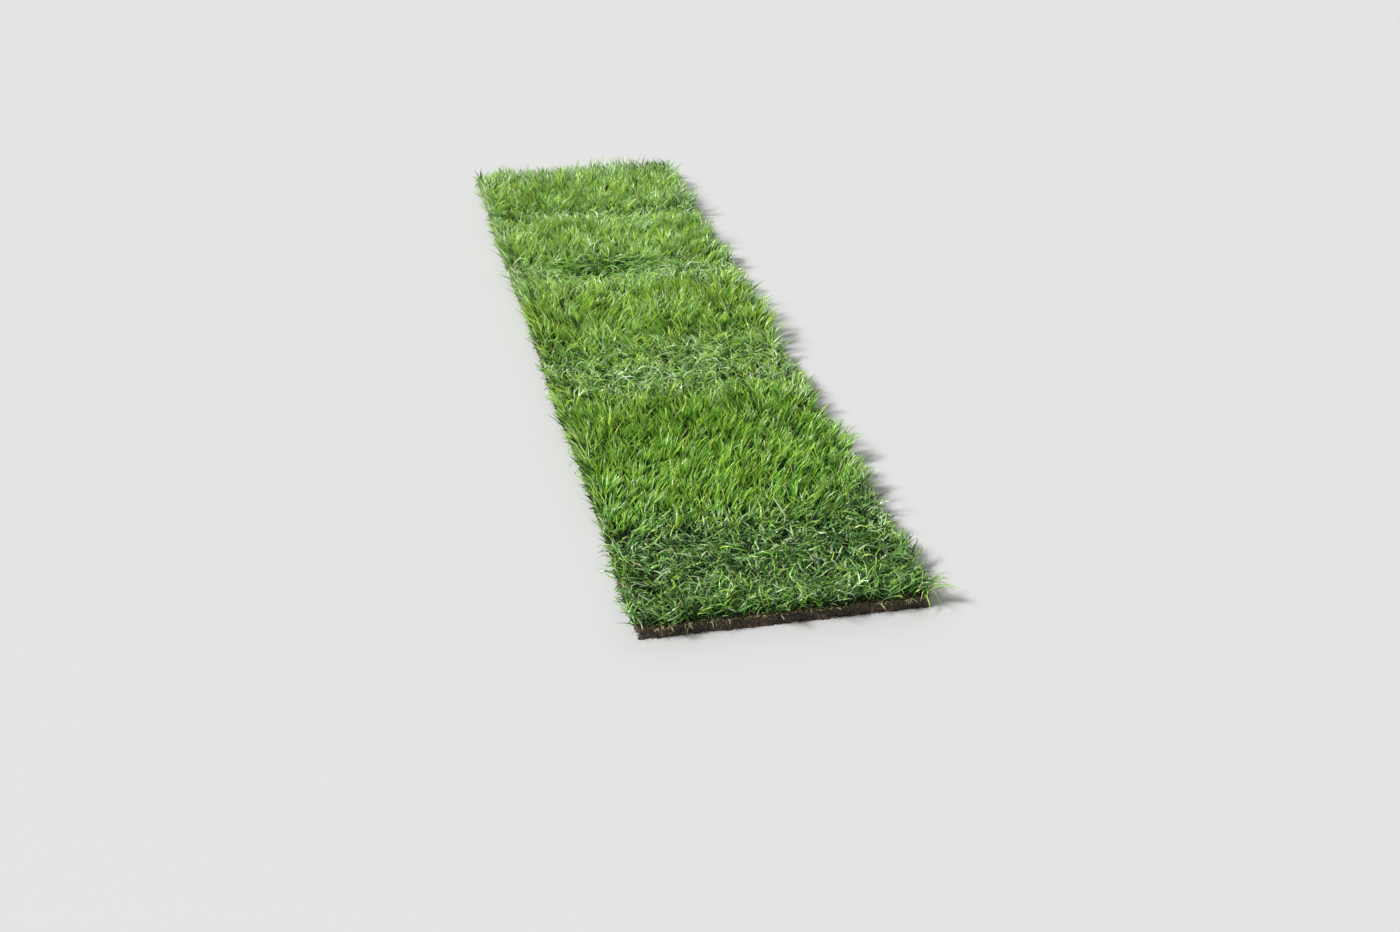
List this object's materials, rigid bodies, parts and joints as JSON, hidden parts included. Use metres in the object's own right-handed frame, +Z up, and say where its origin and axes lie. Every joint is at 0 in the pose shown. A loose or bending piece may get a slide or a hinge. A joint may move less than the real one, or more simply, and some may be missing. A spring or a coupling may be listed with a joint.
{
  "type": "strip of turf",
  "caption": "Strip of living turf laid flat: grass growing from a thin slab of root-bound soil, cut square at both ends, for butting against its neighbours to make a lawn.",
  "frame": {"origin": "middle of the flat underside, on the prepared ground", "axes": "+Z up out of the ground, Y along the strip, X across it; the -Y end is the free cut end that faces the camera in the picture"},
  "size_m": [0.5003, 2.0902, 0.0826],
  "materials": {
    "soil": "dark moist loam bound by fine roots, matt and crumbly",
    "grass": "fresh green leaf blades, satin, lighter on the undersides"
  },
  "bodies": {
    "root": {"soil_and_roots": "soil", "grass": "grass"}
  },
  "joints": []
}
